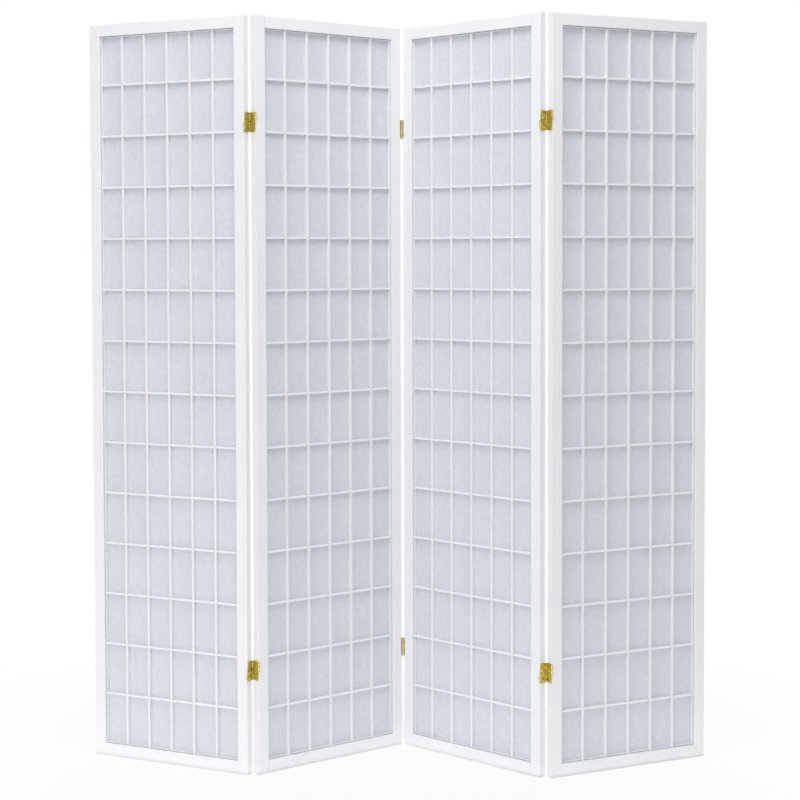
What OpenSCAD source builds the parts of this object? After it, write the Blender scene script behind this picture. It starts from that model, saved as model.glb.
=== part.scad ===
// Four-panel folding screen: white lattice frames lined with paper, joined by
// two-way hinges and standing in a zigzag. Millimetres, Z up, floor at Z = 0.
// Each panel is drawn in its own frame (X across its front, Y into its depth)
// and then put in its place in the zigzag.

/* [Panels] */
// Height of one panel
panel_h = 1784; // [1200:1:2400]
// Width of one panel
panel_w = 432; // [300:1:600]
// Thickness of the frame stock
frame_t = 19; // [17:0.5:30]
// Width of a stile, seen from the front
stile_w = 28; // [22:0.5:60]
// Height of a top rail
top_rail_h = 28; // [20:0.5:80]
// Height of a bottom rail
bottom_rail_h = 31; // [20:0.5:120]
// Bevel on the frame's long edges
edge_bevel = 0.8; // [0.3:0.1:2]

/* [Frame joints] */
// Length of the stub tenon on each end of a rail
tenon_l = 12; // [6:0.5:18]
// Thickness of a tenon
tenon_t = 6.5; // [4:0.5:9]
// Shoulder above and below a tenon
tenon_shoulder = 5; // [2:0.5:8]
// Glue space round a tenon
glue_gap = 0.1; // [0.05:0.05:0.3]

/* [Lattice] */
// Face width of an inner lattice bar
bar_w = 4.8; // [3:0.1:10]
// Depth of the lattice, front to back
bar_d = 8; // [5:0.1:10]
// How far the lattice lies behind the frame's front
lattice_setback = 5; // [3:0.1:7]
// Spacing of the upright bars, centre to centre
col_pitch = 63.5; // [40:0.5:100]
// Spacing of the level bars, centre to centre
row_pitch = 123.75; // [80:0.25:200]
// Height of the lowest cell, from the bottom rail to the lowest inner bar's centre
lowest_cell_h = 122.75; // [60:0.25:200]
// Face width of the thin border strips
border_w = 1.8; // [1.2:0.1:6]
// Gap between a border strip and the frame
border_gap = 1; // [0.5:0.1:4]
// Side play of a half-lap joint
lap_play = 0.1; // [0.05:0.05:0.3]

/* [Paper] */
// Thickness of the paper
paper_t = 0.4; // [0.2:0.1:1]
// Gap between the paper's edge and the frame
paper_margin = 0.5; // [0.2:0.1:3]
// Face width of the battens that hold the paper
batten_w = 8; // [5:0.5:15]
// Depth of the battens
batten_d = 3.5; // [2:0.5:5.5]

/* [Fold of the screen as it stands] */
// Turn between panels 1 and 2, zero when they lie in one plane
fold_1 = 64; // [0:1:175]
// Turn between panels 2 and 3
fold_2 = 81.5; // [0:0.5:175]
// Turn between panels 3 and 4
fold_3 = 69; // [0:1:175]

/* [Hinges] */
// Height of a hinge
hinge_h = 46; // [30:1:80]
// Distance of a hinge's middle from the panel's end
hinge_inset = 247; // [120:1:400]
// Thickness of a leaf
leaf_t = 1; // [0.8:0.1:1.5]
// Thickness of a link
link_t = 1; // [0.8:0.1:1.5]
// Space between a link and the leaf on either side, panels in one plane
link_play = 0.4; // [0.2:0.05:0.8]
// Diameter of a hinge pin
pin_d = 2.4; // [1.8:0.1:3]
// Radial play of a pin in its knuckles
pin_play = 0.05; // [0.02:0.01:0.1]
// Wall of a knuckle
knuckle_wall = 1; // [0.7:0.1:1.5]
// Space between a barrel and the face of the frame
barrel_clear = 0.4; // [0.3:0.1:1]
// Space between neighbouring knuckles
knuckle_gap = 0.3; // [0.2:0.1:0.6]
// Space between the upper and the lower link
link_gap = 0.6; // [0.4:0.1:2]
// Slope cut from a link's corners
link_corner = 4.5; // [2:0.5:6]

/* [Hinge screws] */
// Length of a screw under the surface of its leaf
screw_l = 16; // [10:1:20]
// Diameter of a screw's shank
screw_d = 3; // [2:0.1:3.5]
// Diameter of its countersunk head
head_d = 5.6; // [4.5:0.1:6.5]
// Rise of the head's crown above the leaf
head_rise = 0.6; // [0.3:0.1:0.7]
// Length of the pointed tip
screw_tip = 4; // [2:0.5:6]
// Radial play of a screw in its hole
screw_play = 0.05; // [0.02:0.01:0.1]
// Extra depth of the pilot hole past the tip
pilot_extra = 1; // [0.5:0.5:3]
// Radial play of a screw head in the hole of the link that folds over it
link_hole_play = 0.8; // [0.5:0.1:1.5]
// Length of the cross recess
recess_l = 3.2; // [2:0.1:4]
// Width of each arm of the cross recess
recess_w = 0.7; // [0.4:0.1:1]
// Depth of the cross recess
recess_deep = 0.8; // [0.4:0.1:1]

/* [Hidden] */
$fn = 64;
cut = 1;            // overshoot of a cut past the face that it opens
least_cell = 0.6;   // least width of an edge cell, as a share of the pitch

// Opening of a frame
opening_w = panel_w - 2 * stile_w;
opening_h = panel_h - top_rail_h - bottom_rail_h;
opening_top = panel_h - top_rail_h;

// Lattice: thin border strips stand just inside the frame, the inner bars are pitched.
// Each bar is given as the place of its middle and its face width.
col_count = floor((opening_w - 2 * least_cell * col_pitch) / col_pitch) + 1;
border_in = border_gap + border_w / 2;
cols = concat([[stile_w + border_in, border_w]],
    [for (k = [0 : col_count - 1]) [panel_w / 2 + (k - (col_count - 1) / 2) * col_pitch, bar_w]],
    [[panel_w - stile_w - border_in, border_w]]);
first_row = bottom_rail_h + lowest_cell_h;
row_count = floor((opening_top - least_cell * row_pitch - first_row) / row_pitch) + 1;
rows = concat([[bottom_rail_h + border_in, border_w]],
    [for (k = [0 : row_count - 1]) [first_row + k * row_pitch, bar_w]],
    [[opening_top - border_in, border_w]]);
paper_y = lattice_setback + bar_d;
batten_y = paper_y + paper_t;

// Hinge: measured from the middle of the gap between two panels in one plane
panel_gap = 2 * leaf_t + link_t + 2 * link_play;
barrel_r = pin_d / 2 + pin_play + knuckle_wall;
pivot_out = barrel_r + barrel_clear;    // a barrel's axis stands this far off the frame's face
FRONT = -pivot_out;
BACK = frame_t + pivot_out;
half_l = (hinge_h - link_gap) / 2;      // length of one barrel
half_mid = link_gap / 2 + half_l / 2;   // height of its middle above the hinge's middle
knuckle_l = (half_l - 2 * knuckle_gap) / 3;
hinge_heights = [hinge_inset, panel_h - hinge_inset];

// Zigzag: the folds beside panels 1 and 4 turn on their back barrels, the middle one on
// its front barrels. The chain starts with panel 1 along X, and is then turned so that
// its two ends lie on a line along X, and centred.
function turned(a, v) = [v.x * cos(a) - v.y * sin(a), v.x * sin(a) + v.y * cos(a)];
left_x = -panel_gap / 2;
right_x = panel_w + panel_gap / 2;
chain_a = [0, fold_1, fold_1 - fold_2, fold_1 - fold_2 + fold_3];
chain_1 = [0, 0];
chain_2 = chain_1 + turned(chain_a[0], [right_x, BACK]) - turned(chain_a[1], [left_x, BACK]);
chain_3 = chain_2 + turned(chain_a[1], [right_x, FRONT]) - turned(chain_a[2], [left_x, FRONT]);
chain_4 = chain_3 + turned(chain_a[2], [right_x, BACK]) - turned(chain_a[3], [left_x, BACK]);
chain = [chain_1, chain_2, chain_3, chain_4];
span = chain_4 + turned(chain_a[3], [panel_w, 0]);
whole_turn = -atan2(span.y, span.x);
panel_a = [for (a = chain_a) a + whole_turn];
plan_at = [for (i = [0 : 3]) turned(whole_turn, chain[i])];
plan_corners = [for (i = [0 : 3]) for (x = [0, panel_w]) for (y = [0, frame_t])
    plan_at[i] + turned(panel_a[i], [x, y])];
plan_barrels = concat(
    [for (i = [0 : 2]) for (y = [FRONT, BACK]) plan_at[i] + turned(panel_a[i], [right_x, y])],
    [for (i = [1 : 3]) for (y = [FRONT, BACK]) plan_at[i] + turned(panel_a[i], [left_x, y])]);
plan_low = [for (k = [0, 1])
    min([for (p = plan_corners) p[k], for (p = plan_barrels) p[k] - barrel_r])];
plan_high = [for (k = [0, 1])
    max([for (p = plan_corners) p[k], for (p = plan_barrels) p[k] + barrel_r])];
panel_at = [for (p = plan_at) p - (plan_low + plan_high) / 2];

PANELS = [1 : 4];
FOLDS = [1 : 3];

// Places

module at_panel(p)
    translate([panel_at[p - 1].x, panel_at[p - 1].y, 0]) rotate(panel_a[p - 1]) children();

// The two hinge places on the right or the left end of a panel, with the origin in the
// middle of the gap between the panels
module at_right_end(p)
    at_panel(p) for (z = hinge_heights) translate([right_x, 0, z]) children();
module at_left_end(p)
    at_panel(p) for (z = hinge_heights) translate([left_x, 0, z]) children();

// Turns a piece of the left panel's half of a hinge into the right panel's
module swapped() translate([0, frame_t, 0]) rotate(180) children();

// An outline drawn as depth and height, made into a plate that is w thick along X
module side_plate(w) rotate([90, 0, 90]) linear_extrude(w) children();

// Frame

module bevelled(a, b) {
    c = edge_bevel;
    polygon([[c, 0], [a - c, 0], [a, c], [a, b - c], [a - c, b], [c, b], [0, b - c], [0, c]]);
}

// The block that a tenon fills, from X = x0 to x1, with some space round it
module tenon_block(rail_h, x0, x1, space)
    translate([x0, (frame_t - tenon_t) / 2 - space, tenon_shoulder - space])
        cube([x1 - x0, tenon_t + 2 * space, rail_h - 2 * (tenon_shoulder - space)]);

// A stile with its inner side at X = stile_w. Mortises are cut from the inner side,
// pilot holes for the hinge screws from the outer side.
module stile(hinged) difference() {
    linear_extrude(panel_h) bevelled(stile_w, frame_t);
    for (rail = [[0, bottom_rail_h], [opening_top, top_rail_h]])
        translate([0, 0, rail[0]])
            tenon_block(rail[1], stile_w - tenon_l - glue_gap, stile_w + cut, glue_gap);
    if (hinged) for (z = hinge_heights) for (s = [-1, 1])
        translate([-cut, frame_t / 2, z + s * half_mid]) rotate([0, 90, 0])
            cylinder(r = screw_d / 2 + screw_play, h = cut + screw_l - leaf_t + pilot_extra);
}

module left_stile(p) color("whitesmoke") at_panel(p) stile(p > 1);

module right_stile(p) color("whitesmoke") at_panel(p)
    translate([panel_w, 0, 0]) mirror([1, 0, 0]) stile(p < 4);

module rail(h) {
    translate([stile_w, 0, 0]) side_plate(opening_w) bevelled(frame_t, h);
    tenon_block(h, stile_w - tenon_l, stile_w + cut, 0);
    tenon_block(h, panel_w - stile_w - cut, panel_w - stile_w + tenon_l, 0);
}

module bottom_rail(p) color("whitesmoke") at_panel(p) rail(bottom_rail_h);

module top_rail(p) color("whitesmoke") at_panel(p)
    translate([0, 0, opening_top]) rail(top_rail_h);

// Lattice: half-lapped, the upright bars unbroken in front, both flush

module upright_bars(p) color("white") at_panel(p)
    for (col = cols) translate([col[0] - col[1] / 2, lattice_setback, 0]) side_plate(col[1])
        difference() {
            translate([0, bottom_rail_h]) square([bar_d, opening_h]);
            for (row = rows) translate([bar_d / 2, row[0] - row[1] / 2 - lap_play])
                square([bar_d / 2 + cut, row[1] + 2 * lap_play]);
        }

module level_bars(p) color("white") at_panel(p)
    for (row = rows) translate([0, lattice_setback, row[0] - row[1] / 2]) linear_extrude(row[1])
        difference() {
            translate([stile_w, 0]) square([opening_w, bar_d]);
            for (col = cols) translate([col[0] - col[1] / 2 - lap_play, -cut])
                square([col[1] + 2 * lap_play, bar_d / 2 + cut]);
        }

// Paper against the lattice's back, held by battens round its edge

module paper(p) color("ghostwhite") at_panel(p)
    translate([stile_w + paper_margin, paper_y, bottom_rail_h + paper_margin])
        cube([opening_w - 2 * paper_margin, paper_t, opening_h - 2 * paper_margin]);

module battens(p) color("whitesmoke") at_panel(p) {
    for (x = [stile_w, panel_w - stile_w - batten_w])
        translate([x, batten_y, bottom_rail_h]) cube([batten_w, batten_d, opening_h]);
    for (z = [bottom_rail_h, opening_top - batten_w])
        translate([stile_w + batten_w, batten_y, z])
            cube([opening_w - 2 * batten_w, batten_d, batten_w]);
}

// Hinges. A leaf is screwed to each panel, and two links lie between the leaves, one
// above the other. Each link is pinned to one leaf in front and to the other leaf behind:
// the upper link to the left leaf behind, the lower one to the left leaf in front. So the
// panels fold either way. half is 1 for the upper half and -1 for the lower.

// Height at which knuckle k starts, 0 being the one nearest the hinge's middle
function knuckle_z(half, k) = half > 0
    ? link_gap / 2 + k * (knuckle_l + knuckle_gap)
    : -link_gap / 2 - k * (knuckle_l + knuckle_gap) - knuckle_l;
function barrel_z(half) = half > 0 ? link_gap / 2 : -hinge_h / 2;

// One knuckle on the barrel at depth y, with the neck that joins it to a plate
module knuckle(y, half, k, plate_x, plate_t) translate([0, 0, knuckle_z(half, k)]) {
    translate([0, y, 0]) cylinder(r = barrel_r, h = knuckle_l);
    translate([plate_x, min(y, frame_t), 0]) cube([plate_t, pivot_out, knuckle_l]);
}

module barrel_bore(y, half) translate([0, y, barrel_z(half) - cut])
    cylinder(r = pin_d / 2 + pin_play, h = half_l + 2 * cut);

module leaf() difference() {
    union() {
        translate([-panel_gap / 2, 0, -hinge_h / 2]) cube([leaf_t, frame_t, hinge_h]);
        for (k = [0, 2]) {
            knuckle(BACK, 1, k, -panel_gap / 2, leaf_t);
            knuckle(FRONT, -1, k, -panel_gap / 2, leaf_t);
        }
    }
    barrel_bore(BACK, 1);
    barrel_bore(FRONT, -1);
    for (s = [-1, 1]) translate([-panel_gap / 2, frame_t / 2, s * half_mid]) rotate([0, 90, 0]) {
        cylinder(r1 = screw_d / 2 + screw_play, r2 = head_d / 2 + screw_play, h = leaf_t);
        translate([0, 0, -cut]) cylinder(r = screw_d / 2 + screw_play, h = 2 * cut);
        translate([0, 0, leaf_t]) cylinder(r = head_d / 2 + screw_play, h = cut);
    }
}

module link(half) {
    knuckle_low = knuckle_z(half, 1);
    knuckle_high = knuckle_low + knuckle_l;
    low = barrel_z(half);
    high = low + half_l;
    c = link_corner;
    difference() {
        union() {
            translate([-link_t / 2, 0, 0]) side_plate(link_t) polygon([
                [0, knuckle_low], [c, low], [frame_t - c, low], [frame_t, knuckle_low],
                [frame_t, knuckle_high], [frame_t - c, high], [c, high], [0, knuckle_high]]);
            knuckle(FRONT, half, 1, -link_t / 2, link_t);
            knuckle(BACK, half, 1, -link_t / 2, link_t);
        }
        barrel_bore(FRONT, half);
        barrel_bore(BACK, half);
        translate([-link_t, frame_t / 2, half * half_mid]) rotate([0, 90, 0])
            cylinder(r = head_d / 2 + link_hole_play, h = 2 * link_t);
    }
}

module pin(y, half) translate([0, y, barrel_z(half)]) cylinder(d = pin_d, h = half_l);

module pins() {
    pin(BACK, 1);
    pin(FRONT, -1);
}

// Countersunk screw with a low crown and a cross recess
module screw() {
    crown_r = (pow(head_d / 2, 2) + pow(head_rise, 2)) / (2 * head_rise);
    shank_l = screw_l - leaf_t - screw_tip;
    rotate([0, 90, 0]) difference() {
        union() {
            rotate_extrude() polygon([[0, -shank_l - screw_tip], [screw_d / 2, -shank_l],
                [screw_d / 2, 0], [head_d / 2, leaf_t], [0, leaf_t]]);
            translate([0, 0, leaf_t]) difference() {
                translate([0, 0, head_rise - crown_r]) sphere(crown_r);
                translate([-2 * crown_r, -2 * crown_r, -4 * crown_r]) cube(4 * crown_r);
            }
        }
        for (a = [0, 90]) rotate(a)
            translate([-recess_l / 2, -recess_w / 2, leaf_t + head_rise - recess_deep])
                cube([recess_l, recess_w, recess_deep + cut]);
    }
}

module screws() for (s = [-1, 1])
    translate([-panel_gap / 2, frame_t / 2, s * half_mid]) screw();

// Fold f lies between panels f and f + 1. On a fold that turns on its back barrels the
// upper link moves with the right panel and the lower one with the left panel; on one
// that turns on its front barrels it is the other way round.

function turns_on_back(f) = f != 2;

module left_leaves(f) color("goldenrod") at_right_end(f) leaf();
module right_leaves(f) color("goldenrod") at_left_end(f + 1) swapped() leaf();
module left_pins(f) color("darkgoldenrod") at_right_end(f) pins();
module right_pins(f) color("darkgoldenrod") at_left_end(f + 1) swapped() pins();
module left_screws(f) color("gold") at_right_end(f) screws();
module right_screws(f) color("gold") at_left_end(f + 1) swapped() screws();

module upper_links(f) color("gold")
    if (turns_on_back(f)) at_left_end(f + 1) link(1); else at_right_end(f) link(1);
module lower_links(f) color("gold")
    if (turns_on_back(f)) at_right_end(f) link(-1); else at_left_end(f + 1) link(-1);

for (p = PANELS) {
    left_stile(p);
    right_stile(p);
    top_rail(p);
    bottom_rail(p);
    upright_bars(p);
    level_bars(p);
    paper(p);
    battens(p);
}
for (f = FOLDS) {
    left_leaves(f);
    right_leaves(f);
    upper_links(f);
    lower_links(f);
    left_pins(f);
    right_pins(f);
    left_screws(f);
    right_screws(f);
}
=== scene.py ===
# %% [markdown]
# # A four-panel folding screen
# The real screen is a row of four tall frames of white-painted softwood. A thin
# lattice fills each frame, a sheet of fibrous paper lies behind the lattice, and small
# brass hinges with two rows of barrels join the panels, so that they can fold either
# way. It stands in a zigzag on a white ground.
#
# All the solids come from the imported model, which also holds the joints. This lesson
# adds what the solids lack: rounded edges, finishes, light, a floor and a camera. The
# first step loads the model and keeps its box, to prove later that nothing has grown.

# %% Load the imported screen
import math

import bpy
import numpy as np
from mathutils import Matrix, Vector


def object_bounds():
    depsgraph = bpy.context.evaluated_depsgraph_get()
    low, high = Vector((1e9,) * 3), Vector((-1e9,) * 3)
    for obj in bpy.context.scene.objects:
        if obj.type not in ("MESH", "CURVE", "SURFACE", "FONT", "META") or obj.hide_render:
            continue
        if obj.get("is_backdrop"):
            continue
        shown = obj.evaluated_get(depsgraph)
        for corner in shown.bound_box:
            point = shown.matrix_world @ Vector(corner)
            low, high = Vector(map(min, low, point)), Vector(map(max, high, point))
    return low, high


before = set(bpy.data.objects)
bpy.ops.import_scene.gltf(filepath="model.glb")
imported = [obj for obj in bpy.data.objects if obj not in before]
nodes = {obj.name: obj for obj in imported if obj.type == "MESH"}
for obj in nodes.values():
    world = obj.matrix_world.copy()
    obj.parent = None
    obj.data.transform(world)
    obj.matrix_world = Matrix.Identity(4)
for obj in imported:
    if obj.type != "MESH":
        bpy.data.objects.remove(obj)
cad_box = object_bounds()
print("overall size in metres:", [round(b - a, 3) for a, b in zip(*cad_box)])

# %% [markdown]
# ## Which pieces take which finish
# A painter would sort the screen's parts before opening a tin: the thick frame, the
# thin bars, the paper and the metal. The node names already say what each piece is, so
# the sorting can be done by the end of the name. The direction in which a piece's
# wood runs matters too, because grain shows through paint along the length of a piece.

# %% Sort the pieces
PANELS = (1, 2, 3, 4)
FOLDS = (1, 2, 3)
UPRIGHT_FRAME = ("left_stile", "right_stile", "battens")
LEVEL_FRAME = ("top_rail", "bottom_rail")
PLATES = ("left_leaves", "right_leaves", "upper_links", "lower_links")
PINS = ("left_pins", "right_pins")
SCREWS = ("left_screws", "right_screws")


def of_panel(panel, names):
    """The node objects of one panel whose pieces have these names."""
    return [nodes[f"panel_{panel}_{name}"] for name in names]


def of_folds(names):
    """The node objects of all three folds whose pieces have these names."""
    return [nodes[f"fold_{fold}_{name}"] for fold in FOLDS for name in names]


def level_direction(panel):
    """The way in which a panel's rails run, from its bottom rail's own corners."""
    corners = nodes[f"panel_{panel}_bottom_rail"].data.vertices
    plan = np.array([corner.co[:2] for corner in corners])
    x, y = np.linalg.eigh(np.cov(plan.T))[1][:, -1]
    return Vector((x, y, 0)) * math.copysign(1, x)


UPRIGHT = Vector((0, 0, 1))
LEVEL = {panel: level_direction(panel) for panel in PANELS}
for panel, way in LEVEL.items():
    print(f"panel {panel} stands at {math.degrees(math.atan2(way.y, way.x)):.1f} degrees")

# %% [markdown]
# ## Rounded edges
# Sanded wood and stamped metal have no perfectly sharp edge, and the thin bright line
# that an edge catches is what makes it look real. The edges could be rounded in the
# solids, but a Bevel modifier does it without touching them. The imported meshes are
# split along their edges, so a Weld modifier first joins the points that coincide.
# The widths are small, as the frame's own bevels are in the solids already.

# %% Round the edges of the wood
FRAME_ROUND = 0.0005
BAR_ROUND = 0.0004
COINCIDENT = 1e-6
SHARP_ANGLE = math.radians(30)
ROUNDING_STEPS = 2


def round_edges(piece, width):
    """Joins a mesh's coincident points and rounds its sharp edges."""
    weld = piece.modifiers.new("join", "WELD")
    weld.merge_threshold = COINCIDENT
    bevel = piece.modifiers.new("round", "BEVEL")
    bevel.width = width
    bevel.segments = ROUNDING_STEPS
    bevel.limit_method = "ANGLE"
    bevel.angle_limit = SHARP_ANGLE
    bevel.harden_normals = True


for panel in PANELS:
    for piece in of_panel(panel, UPRIGHT_FRAME + LEVEL_FRAME):
        round_edges(piece, FRAME_ROUND)
    for piece in of_panel(panel, ("upright_bars", "level_bars")):
        round_edges(piece, BAR_ROUND)
print(f"rounded the frames by {FRAME_ROUND * 1000} mm",
      f"and the bars by {BAR_ROUND * 1000} mm")

# %% [markdown]
# ## Small helpers for shader nodes
# A material is a graph of nodes. Writing each node on several lines would bury the
# idea, so one helper adds a node, sets its options and fills its sockets. A socket gets
# either a plain value or the output of another node. A second helper starts a node
# group, which is how an effect is built once and shared by several materials.

# %% Node helpers
def node(tree, kind, sockets=None, **options):
    """Adds a node. sockets maps a socket's name or number to a value or an output."""
    made = tree.nodes.new(kind)
    for option, value in options.items():
        setattr(made, option, value)
    for key, value in (sockets or {}).items():
        if isinstance(value, bpy.types.NodeSocket):
            tree.links.new(value, made.inputs[key])
        else:
            made.inputs[key].default_value = value
    return made


def math_node(tree, operation, first, second=0.0):
    """The output of a Math node."""
    made = node(tree, "ShaderNodeMath", {0: first, 1: second}, operation=operation)
    return made.outputs[0]


def product(tree, first, second):
    """Two values multiplied."""
    return math_node(tree, "MULTIPLY", first, second)


def noise(tree, vector, scale, detail=3.0, roughness=0.5, distortion=0.0):
    """The grey value of a Noise texture, with scale in features to the metre."""
    return node(tree, "ShaderNodeTexNoise", {
        "Vector": vector, "Scale": scale, "Detail": detail,
        "Roughness": roughness, "Distortion": distortion}).outputs[0]


def remap(tree, value, low, high, to_low=0.0, to_high=1.0):
    """Stretches the span from low to high over the span from to_low to to_high."""
    return node(tree, "ShaderNodeMapRange", {
        "Value": value, "From Min": low, "From Max": high,
        "To Min": to_low, "To Max": to_high}).outputs[0]


def blend_colour(tree, share, first, second):
    """The first colour, changing to the second as share goes from 0 to 1."""
    made = node(tree, "ShaderNodeMix", {0: share, 6: first, 7: second}, data_type="RGBA")
    return made.outputs[2]


def local_position(tree):
    """A point's place in its own object, which stays the same when a panel swings."""
    return node(tree, "ShaderNodeTexCoord").outputs["Object"]


def start_group(name, inputs, outputs):
    """A new node group, the outputs of its input node and the inputs of its output."""
    group = bpy.data.node_groups.new(name, "ShaderNodeTree")
    for label, kind, value in inputs:
        socket = group.interface.new_socket(label, in_out="INPUT", socket_type=kind)
        socket.default_value = value
    for label, kind in outputs:
        group.interface.new_socket(label, in_out="OUTPUT", socket_type=kind)
    given = node(group, "NodeGroupInput").outputs
    result = node(group, "NodeGroupOutput").inputs
    return group, given, result


def use_group(tree, group, sockets):
    """Places a group in a material with its own values."""
    return node(tree, "ShaderNodeGroup", sockets, node_tree=group).outputs


FLOAT, VECTOR = "NodeSocketFloat", "NodeSocketVector"
print("helpers ready")

# %% [markdown]
# ## Grain under the paint
# Two coats of paint don't quite hide softwood: shallow ridges run along each piece.
# Noise that is squeezed along one direction gives such streaks. A Mapping node would
# need a rotation for each panel, so the group takes the direction of the wood instead
# and shortens the position along it by itself.

# %% Group: wood grain
RIDGE_SPAN = (0.38, 0.62)
FIGURE_SPAN = (0.35, 0.65)
FIGURE_TO_RIDGES = 0.12

grain_group, given, result = start_group(
    "Wood Grain",
    [("Direction", VECTOR, (0, 0, 1)), ("Lines per Metre", FLOAT, 500.0),
     ("Shortening", FLOAT, 0.03)],
    [("Ridges", FLOAT), ("Figure", FLOAT)])
place = local_position(grain_group)
along = node(grain_group, "ShaderNodeVectorMath", {0: place, 1: given["Direction"]},
             operation="DOT_PRODUCT").outputs["Value"]
take_off = product(grain_group, along,
                   math_node(grain_group, "SUBTRACT", given["Shortening"], 1.0))
step = node(grain_group, "ShaderNodeVectorMath",
            {0: given["Direction"], "Scale": take_off}, operation="SCALE").outputs[0]
squeezed = node(grain_group, "ShaderNodeVectorMath", {0: place, 1: step}).outputs[0]
ridges = noise(grain_group, squeezed, given["Lines per Metre"], detail=5, roughness=0.6,
               distortion=0.25)
figure = noise(grain_group, squeezed,
               product(grain_group, given["Lines per Metre"], FIGURE_TO_RIDGES), detail=2)
grain_group.links.new(remap(grain_group, ridges, *RIDGE_SPAN), result["Ridges"])
grain_group.links.new(remap(grain_group, figure, *FIGURE_SPAN), result["Figure"])
print("made", grain_group.name)

# %% [markdown]
# ## The paint film
# Sprayed and brushed paint levels out into a fine ripple, and its gloss and tone
# wander a little over a hand's breadth. Three sizes of noise give the ripple, the
# patches of gloss and the slow change of tone.

# %% Group: paint film
GLOSS_SPAN = (0.3, 0.7)
TONE_SPAN = (0.32, 0.68)
GLOSS_TO_TONE = 6.0

film_group, given, result = start_group(
    "Paint Film",
    [("Ripples per Metre", FLOAT, 420.0), ("Patches per Metre", FLOAT, 9.0)],
    [("Ripple", FLOAT), ("Gloss Patches", FLOAT), ("Tone", FLOAT)])
place = local_position(film_group)
film_group.links.new(noise(film_group, place, given["Ripples per Metre"], detail=1),
                     result["Ripple"])
patches = noise(film_group, place,
                product(film_group, given["Patches per Metre"], GLOSS_TO_TONE))
film_group.links.new(remap(film_group, patches, *GLOSS_SPAN), result["Gloss Patches"])
tone = noise(film_group, place, given["Patches per Metre"], detail=4, roughness=0.6)
film_group.links.new(remap(film_group, tone, *TONE_SPAN), result["Tone"])
print("made", film_group.name)

# %% [markdown]
# ## Worn edges, and dust and painted shade in crevices
# Hands, boxes and doors rub the edges first. A mask of the edges could be painted, but
# the Bevel shader node finds them on any mesh: where the rounded normal differs from
# the true one, there is an edge. Noise breaks the line up, since wear is never even.
# The opposite place is a crevice, where dust gathers, polish can't reach and shade
# falls. Ambient occlusion over a short distance finds those. The darkening there is
# partly dust and partly painted shade.

# %% Groups: edge wear and crevices
EDGE_LIKENESS = (0.995, 0.8)
BREAK_SPAN = (0.42, 0.62)
CREVICE_OPENNESS = (0.75, 0.15)

wear_group, given, result = start_group(
    "Edge Wear",
    [("Radius", FLOAT, 0.001), ("Breaks per Metre", FLOAT, 60.0)],
    [("Mask", FLOAT)])
rounded = node(wear_group, "ShaderNodeBevel", {"Radius": given["Radius"]}, samples=6)
true_normal = node(wear_group, "ShaderNodeNewGeometry").outputs["Normal"]
likeness = node(wear_group, "ShaderNodeVectorMath",
                {0: rounded.outputs[0], 1: true_normal}, operation="DOT_PRODUCT")
edge = remap(wear_group, likeness.outputs["Value"], *EDGE_LIKENESS)
uneven = noise(wear_group, local_position(wear_group), given["Breaks per Metre"],
               detail=5, roughness=0.65)
breaks = remap(wear_group, uneven, *BREAK_SPAN)
wear_group.links.new(product(wear_group, edge, breaks), result["Mask"])

# The materials use this mask for painted shade together with dust and dirt.
crevice_group, given, result = start_group(
    "Crevice", [("Reach", FLOAT, 0.004)], [("Mask", FLOAT)])
openness = node(crevice_group, "ShaderNodeAmbientOcclusion",
                {"Distance": given["Reach"]}, samples=8)
crevice_group.links.new(remap(crevice_group, openness.outputs["AO"], *CREVICE_OPENNESS),
                        result["Mask"])
print("made", wear_group.name, "and", crevice_group.name)

# %% [markdown]
# ## Satin white paint
# The paint is a cool, clean white with a satin sheen. One function makes it for each
# direction of wood. The thin bars get finer and fainter grain than the thick frame, and
# less wear: bars are dipped or sprayed, and their grain drowns. Where an edge is rubbed
# the film is thin, and the wood warms it.

# %% Material: satin white paint
WHITE = (0.875, 0.882, 0.9, 1)
SHADED_WHITE = (0.85, 0.857, 0.876, 1)
THIN_PAINT = (0.8, 0.755, 0.66, 1)
DUST_AND_SHADE = (0.56, 0.55, 0.53, 1)
STREAK_SHARE = 0.35
DUST_AND_SHADE_SHARE = 0.3
RIPPLE_SHARE = 0.4
PAINT_ROUGHNESS = (0.36, 0.48)
RUBBED_ROUGHNESS = 0.3
PAINT_RELIEF = 0.00008
FRAME_WOOD = {"lines": 420.0, "grain_depth": 1.0, "wear": 0.3}
BAR_WOOD = {"lines": 700.0, "grain_depth": 0.5, "wear": 0.18}


def new_material(name):
    """An empty material, its node tree and its Principled shader."""
    made = bpy.data.materials.new(name)
    made.use_nodes = True
    tree = made.node_tree
    tree.nodes.clear()
    shader = node(tree, "ShaderNodeBsdfPrincipled")
    node(tree, "ShaderNodeOutputMaterial", {"Surface": shader.outputs[0]})
    return made, tree, shader


def bump(tree, height, distance):
    """The normal of a Bump node, for a height from 0 to 1 that is distance metres deep."""
    return node(tree, "ShaderNodeBump", {
        "Height": height, "Distance": distance, "Strength": 1.0}).outputs[0]


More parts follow.
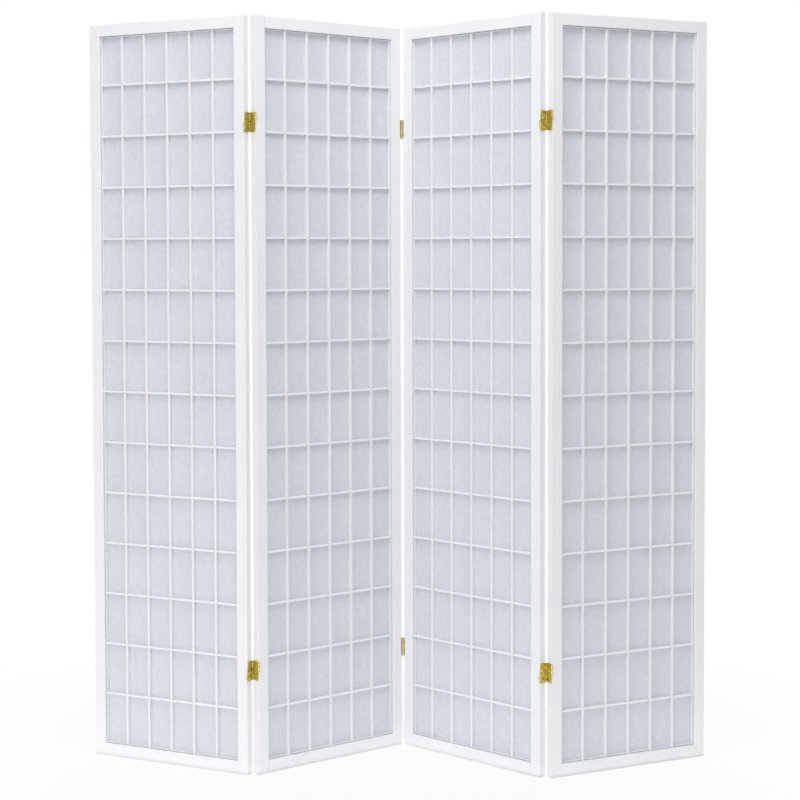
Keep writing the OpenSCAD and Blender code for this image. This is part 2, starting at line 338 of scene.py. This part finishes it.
def satin_white(name, direction, lines, grain_depth, wear):
    """White paint on wood that runs in the given direction."""
    made, tree, shader = new_material(name)
    grain = use_group(tree, grain_group, {
        "Direction": tuple(direction), "Lines per Metre": lines, "Shortening": 0.03})
    film = use_group(tree, film_group, {"Ripples per Metre": 420.0})
    edges = use_group(tree, wear_group, {"Radius": 0.0012, "Breaks per Metre": 45.0})
    corners = use_group(tree, crevice_group, {"Reach": 0.0025})

    colour = blend_colour(tree, film["Tone"], WHITE, SHADED_WHITE)
    streaks = product(tree, grain["Figure"], STREAK_SHARE)
    colour = blend_colour(tree, streaks, colour, SHADED_WHITE)
    rubbed = product(tree, edges["Mask"], wear)
    colour = blend_colour(tree, rubbed, colour, THIN_PAINT)
    # Painted shade and dust: the crevice mask greys the corners and the gaps between parts.
    dust_and_shade = product(tree, corners["Mask"], DUST_AND_SHADE_SHARE)
    colour = blend_colour(tree, dust_and_shade, colour, DUST_AND_SHADE)
    tree.links.new(colour, shader.inputs["Base Color"])

    gloss = remap(tree, film["Gloss Patches"], 0, 1, *PAINT_ROUGHNESS)
    rough = math_node(tree, "ADD", gloss, product(tree, rubbed, RUBBED_ROUGHNESS))
    tree.links.new(rough, shader.inputs["Roughness"])
    height = math_node(tree, "ADD", product(tree, grain["Ridges"], grain_depth),
                       product(tree, film["Ripple"], RIPPLE_SHARE))
    tree.links.new(bump(tree, height, PAINT_RELIEF), shader.inputs["Normal"])
    return made


def dress(pieces, material):
    """Puts one material in every slot of these pieces."""
    for piece in pieces:
        for slot in piece.material_slots:
            slot.material = material


frame_upright = satin_white("satin_white_upright", UPRIGHT, **FRAME_WOOD)
bars_upright = satin_white("thin_white_upright", UPRIGHT, **BAR_WOOD)
for panel, way in LEVEL.items():
    dress(of_panel(panel, UPRIGHT_FRAME), frame_upright)
    dress(of_panel(panel, ["upright_bars"]), bars_upright)
    dress(of_panel(panel, LEVEL_FRAME),
          satin_white(f"satin_white_level_{panel}", way, **FRAME_WOOD))
    dress(of_panel(panel, ["level_bars"]),
          satin_white(f"thin_white_level_{panel}", way, **BAR_WOOD))
print("painted the wood of", len(LEVEL), "panels")

# %% [markdown]
# ## Fibrous paper
# The sheet behind the lattice is a long-fibred paper of a cool, bluish white, a little
# darker than the paint. Seen close, long fibres wander through a cloudy mass. The
# contour line of a noise texture wanders in the same way, so a narrow band round one
# grey value draws fibres, and a second noise cuts them to length. Two sizes of them
# cross, over clouds of thicker and thinner pulp.

# %% Material: paper
PULP = (0.72, 0.742, 0.795, 1)
THIN_PULP = (0.66, 0.686, 0.745, 1)
FIBRE = (0.8, 0.815, 0.85, 1)
LONG_FIBRES = {"per_metre": 38.0, "width": 0.011}
SHORT_FIBRES = {"per_metre": 110.0, "width": 0.02}
SHORT_TO_LONG = 0.7
FIBRE_SHARE = 0.55
MIDDLE_GREY = 0.5
CUTS_TO_FIBRES, CUT_SPAN = 0.7, (0.47, 0.55)
CLOUDS_PER_METRE, CLOUD_SPAN, CLOUD_SHARE = 85.0, (0.34, 0.66), 0.75
DRIFTS_PER_METRE, DRIFT_SPAN, DRIFT_SHARE = 7.0, (0.35, 0.65), 0.25
TEETH_PER_METRE, TOOTH_SHARE = 1400.0, 0.35
PAPER_ROUGHNESS = (0.82, 0.94)
PAPER_SPECULAR = 0.25
PAPER_RELIEF = 0.00006


def fibres(tree, place, per_metre, width):
    """A mask of long curved lines, as wide as a share of the noise's whole range."""
    field = noise(tree, place, per_metre, detail=2, distortion=0.6)
    off_line = math_node(tree, "SUBTRACT", field, MIDDLE_GREY)
    line = remap(tree, math_node(tree, "ABSOLUTE", off_line), width, 0.0)
    cuts = noise(tree, place, per_metre * CUTS_TO_FIBRES, detail=1)
    return product(tree, line, remap(tree, cuts, *CUT_SPAN))


paper, tree, shader = new_material("fibrous_paper")
place = local_position(tree)
long_fibres = fibres(tree, place, **LONG_FIBRES)
short_fibres = fibres(tree, place, **SHORT_FIBRES)
all_fibres = math_node(tree, "MAXIMUM", long_fibres,
                       product(tree, short_fibres, SHORT_TO_LONG))
clouds = noise(tree, place, CLOUDS_PER_METRE, detail=4, roughness=0.6)
clouds = remap(tree, clouds, *CLOUD_SPAN)
drifts = remap(tree, noise(tree, place, DRIFTS_PER_METRE, detail=2), *DRIFT_SPAN)
mass = math_node(tree, "ADD", product(tree, clouds, CLOUD_SHARE),
                 product(tree, drifts, DRIFT_SHARE))
colour = blend_colour(tree, mass, PULP, THIN_PULP)
colour = blend_colour(tree, product(tree, all_fibres, FIBRE_SHARE), colour, FIBRE)
tree.links.new(colour, shader.inputs["Base Color"])
tree.links.new(remap(tree, clouds, 0, 1, *PAPER_ROUGHNESS), shader.inputs["Roughness"])
tooth = noise(tree, place, TEETH_PER_METRE, detail=2)
height = math_node(tree, "ADD", product(tree, tooth, TOOTH_SHARE), all_fibres)
tree.links.new(bump(tree, height, PAPER_RELIEF), shader.inputs["Normal"])
shader.inputs["Specular IOR Level"].default_value = PAPER_SPECULAR
for panel in PANELS:
    dress(of_panel(panel, ["paper"]), paper)
print("papered", len(PANELS), "panels")

# %% [markdown]
# ## Brass
# The hinges are stamped from sheet and plated a strong yellow. They are pale where
# fingers and the other leaf rub them, brown where they are stained, and darkest in the
# corners, which is partly dirt trapped by the lacquer and partly painted shade. Metallic
# stays at one on clean metal, and the dirt is not metal, so the crevice mask lowers it.
# The drawn sheet has fine scratches, which are noise squeezed along one direction again.

# %% Material: brass
BRASS = (0.81, 0.68, 0.17, 1)
PALE_BRASS = (0.95, 0.9, 0.58, 1)
TARNISH = (0.1, 0.055, 0.012, 1)
GRIME_AND_SHADE = (0.03, 0.018, 0.006, 1)
STAINS_PER_METRE, STAIN_SPAN, STAIN_SHARE = 260.0, (0.47, 0.61), 0.88
RUBS_PER_METRE, RUB_SPAN, RUB_SHARE = 240.0, (0.5, 0.64), 0.7
STAIN_ROUGHNESS, GRIME_ROUGHNESS = 0.2, 0.4
NOT_METAL_SHARE = 0.8
SCRATCH_RELIEF = 0.00001


def plated(name, clean, roughness, grime_and_shade_share):
    """Plated brass with scratches, stains, rubbed edges, and dirt and painted shade in its
    corners.
    """
    made, tree, shader = new_material(name)
    place = local_position(tree)
    scratches = use_group(tree, grain_group, {
        "Direction": tuple(UPRIGHT), "Lines per Metre": 3500.0, "Shortening": 0.05})
    edges = use_group(tree, wear_group, {"Radius": 0.0004, "Breaks per Metre": 400.0})
    corners = use_group(tree, crevice_group, {"Reach": 0.005})
    stains = noise(tree, place, STAINS_PER_METRE, detail=5, roughness=0.75)
    stains = remap(tree, stains, *STAIN_SPAN)
    rubs = noise(tree, place, RUBS_PER_METRE, roughness=0.65)
    rubs = remap(tree, rubs, *RUB_SPAN)
    # Painted shade and dirt: the crevice mask darkens corners and gaps between hinge parts.
    grime_and_shade = product(tree, corners["Mask"], grime_and_shade_share)

    colour = blend_colour(tree, product(tree, stains, STAIN_SHARE), clean, TARNISH)
    worn = math_node(tree, "MAXIMUM", edges["Mask"], product(tree, rubs, RUB_SHARE))
    colour = blend_colour(tree, worn, colour, PALE_BRASS)
    # The painted shade and dirt in the corners go nearly to black here.
    colour = blend_colour(tree, grime_and_shade, colour, GRIME_AND_SHADE)
    tree.links.new(colour, shader.inputs["Base Color"])
    metal = math_node(tree, "SUBTRACT", 1.0, product(tree, grime_and_shade, NOT_METAL_SHARE))
    tree.links.new(metal, shader.inputs["Metallic"])
    rough = math_node(tree, "ADD", product(tree, stains, STAIN_ROUGHNESS),
                      product(tree, grime_and_shade, GRIME_ROUGHNESS))
    tree.links.new(math_node(tree, "ADD", rough, roughness), shader.inputs["Roughness"])
    tree.links.new(bump(tree, scratches["Ridges"], SCRATCH_RELIEF), shader.inputs["Normal"])
    return made


dress(of_folds(PLATES), plated("brass_plate", BRASS, roughness=0.26, grime_and_shade_share=0.95))
dress(of_folds(PINS), plated("brass_pin", BRASS, roughness=0.34, grime_and_shade_share=0.95))
dress(of_folds(SCREWS), plated("brass_screw", PALE_BRASS, roughness=0.22, grime_and_shade_share=1.0))
print("plated", len(of_folds(PLATES + PINS + SCREWS)), "hinge nodes")

# %% [markdown]
# ## The floor and the white ground
# The screen stands on a white sweep, where floor and background run into each other.
# More light would burn out the white paint, so the ground's white comes from its own
# material: what the camera or a mirror-like surface sees of it is mostly plain white,
# and the rest is an ordinary lit floor, which keeps the screen's soft shadow. That lit
# share fades out with the distance from the screen, so that no horizon shows.

# %% Floor and world
FLOOR_SIDE = 60
FLOOR_SHADOW_SHARE = 0.18
FADE_FROM, FADE_TO = 0.4, 1.5
AMBIENT = 0.47
GROUND = (0.9, 0.9, 0.9, 1)
GROUND_ROUGHNESS = 0.9


def seen_directly(tree):
    """1 for what the camera sees, directly or in a glossy or clear surface."""
    rays = node(tree, "ShaderNodeLightPath").outputs
    shiny = math_node(tree, "MAXIMUM", rays["Is Glossy Ray"], rays["Is Transmission Ray"])
    return math_node(tree, "MAXIMUM", rays["Is Camera Ray"], shiny)


half = FLOOR_SIDE / 2
floor_mesh = bpy.data.meshes.new("floor")
floor_mesh.from_pydata(
    [(-half, -half, 0), (half, -half, 0), (half, half, 0), (-half, half, 0)], [],
    [(0, 1, 2, 3)])
floor = bpy.data.objects.new("floor", floor_mesh)
bpy.context.scene.collection.objects.link(floor)
floor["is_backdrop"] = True

ground, tree, lit = new_material("white_ground")
lit.inputs["Base Color"].default_value = GROUND
lit.inputs["Roughness"].default_value = GROUND_ROUGHNESS
lit.inputs["Specular IOR Level"].default_value = 0.0
glow = node(tree, "ShaderNodeEmission", {"Strength": 1.0})
away = node(tree, "ShaderNodeVectorMath", {0: local_position(tree)},
            operation="LENGTH").outputs["Value"]
white_share = remap(tree, away, FADE_FROM, FADE_TO, 1 - FLOOR_SHADOW_SHARE, 1.0)
share = product(tree, seen_directly(tree), white_share)
both = node(tree, "ShaderNodeMixShader", {0: share, 1: lit.outputs[0], 2: glow.outputs[0]})
output = next(n for n in tree.nodes if n.type == "OUTPUT_MATERIAL")
tree.links.new(both.outputs[0], output.inputs["Surface"])
floor_mesh.materials.append(ground)

world = bpy.data.worlds.new("white_room")
world.use_nodes = True
bpy.context.scene.world = world
tree = world.node_tree
tree.nodes.clear()
strength = remap(tree, seen_directly(tree), 0, 1, AMBIENT, 1.0)
sky = node(tree, "ShaderNodeBackground", {"Color": (1, 1, 1, 1), "Strength": strength})
node(tree, "ShaderNodeOutputWorld", {"Surface": sky.outputs[0]})
print("floor", FLOOR_SIDE, "m square; ambient light", AMBIENT)

# %% [markdown]
# ## Studio light
# In the photograph each level bar drops a short shadow on the paper under it, strong
# near the top and almost gone near the bottom, and the left-facing panels are a little
# brighter than the right-facing ones. So the main light is a softbox high above the
# camera, with weaker ones on its left and over the screen. The photographer's white
# floor throws much light back up. Two low, wide lamps and one that lies on the floor,
# before and under the screen, and shines upwards add what the floor here doesn't. A lamp
# behind lights the back. None of them can be seen, wherever the camera goes. Each line
# gives a lamp's place, the point it aims at, its size in metres and its power.

# %% Lamps
def softbox(name, place, aim, size, watts):
    """A rectangular area lamp that points at a place and stays out of view itself."""
    lamp = bpy.data.lights.new(name, "AREA")
    lamp.shape = "RECTANGLE"
    lamp.size, lamp.size_y = size
    lamp.energy = watts
    made = bpy.data.objects.new(name, lamp)
    bpy.context.scene.collection.objects.link(made)
    made.location = place
    made.rotation_euler = (Vector(aim) - Vector(place)).to_track_quat("-Z", "Y").to_euler()
    made.visible_camera = False
    print(f"{name}: {watts} W at {place}")


MIDDLE = (0, 0, 0.95)
FOOT = (0, 0, 0.3)
softbox("key_lamp", (0, -4.3, 4.8), MIDDLE, size=(1.0, 1.0), watts=42)
softbox("left_lamp", (-2.6, -3.6, 4.6), MIDDLE, size=(1.0, 1.0), watts=19)
softbox("overhead_lamp", (0, -1.2, 3.4), (0, 0, 1.2), size=(1.6, 1.0), watts=24)
softbox("low_left_lamp", (-1.9, -1.9, 0.3), FOOT, size=(1.6, 0.5), watts=9)
softbox("low_right_lamp", (1.9, -1.9, 0.3), FOOT, size=(1.6, 0.5), watts=3)
softbox("floor_lamp", (0, -0.35, 0.005), (0, -0.35, 1), size=(2.0, 1.3), watts=2.4)
softbox("back_lamp", (0, 3.4, 2.4), MIDDLE, size=(2.4, 1.6), watts=52)

# %% [markdown]
# ## The camera
# The photograph was taken from about eye height, a little over four metres away, with
# a longer lens. A camera that was fitted to the frame's corners and the lattice gives
# the place and the turns below. The photographer kept the uprights parallel by
# shifting the lens. A shift stays on in every other view too, so only part of it is
# used here. A lower camera that tilts slightly down makes up for the rest.

# %% Camera
CAMERA_AT = Vector((0.0655, -4.3007, 1.2216))
YAW, PITCH, ROLL = (math.radians(a) for a in (-1.340, -2.352, -0.161))
LENS = 80.41
SENSOR_WIDTH = 36
SHIFT = (0.0213, -0.0869)

ahead = Vector((math.sin(YAW) * math.cos(PITCH), math.cos(YAW) * math.cos(PITCH),
                math.sin(PITCH)))
right = Vector((math.cos(YAW), -math.sin(YAW), 0))
up = right.cross(ahead)
rolled_right = math.cos(ROLL) * right + math.sin(ROLL) * up
rolled_up = math.cos(ROLL) * up - math.sin(ROLL) * right
turn = Matrix((rolled_right, rolled_up, -ahead)).transposed()

lens = bpy.data.cameras.new("camera")
lens.lens = LENS
lens.sensor_width = SENSOR_WIDTH
lens.shift_x, lens.shift_y = SHIFT
camera = bpy.data.objects.new("camera", lens)
bpy.context.scene.collection.objects.link(camera)
camera.matrix_world = Matrix.Translation(CAMERA_AT) @ turn.to_4x4()
bpy.context.scene.camera = camera
bpy.context.scene.view_settings.view_transform = "Standard"
print("camera", round((CAMERA_AT - Vector(MIDDLE)).length, 2), "m from the screen")

# %% [markdown]
# ## Check the size
# Rounding and painting may not make the screen bigger. The box from the start and the
# box now are compared, and the largest change between them is printed.

# %% Compare the sizes
visual_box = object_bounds()
growth = max(max(abs(a - b) for a, b in zip(old, new))
             for old, new in zip(cad_box, visual_box))
print("largest change of the box:", round(growth * 1000, 3), "mm")
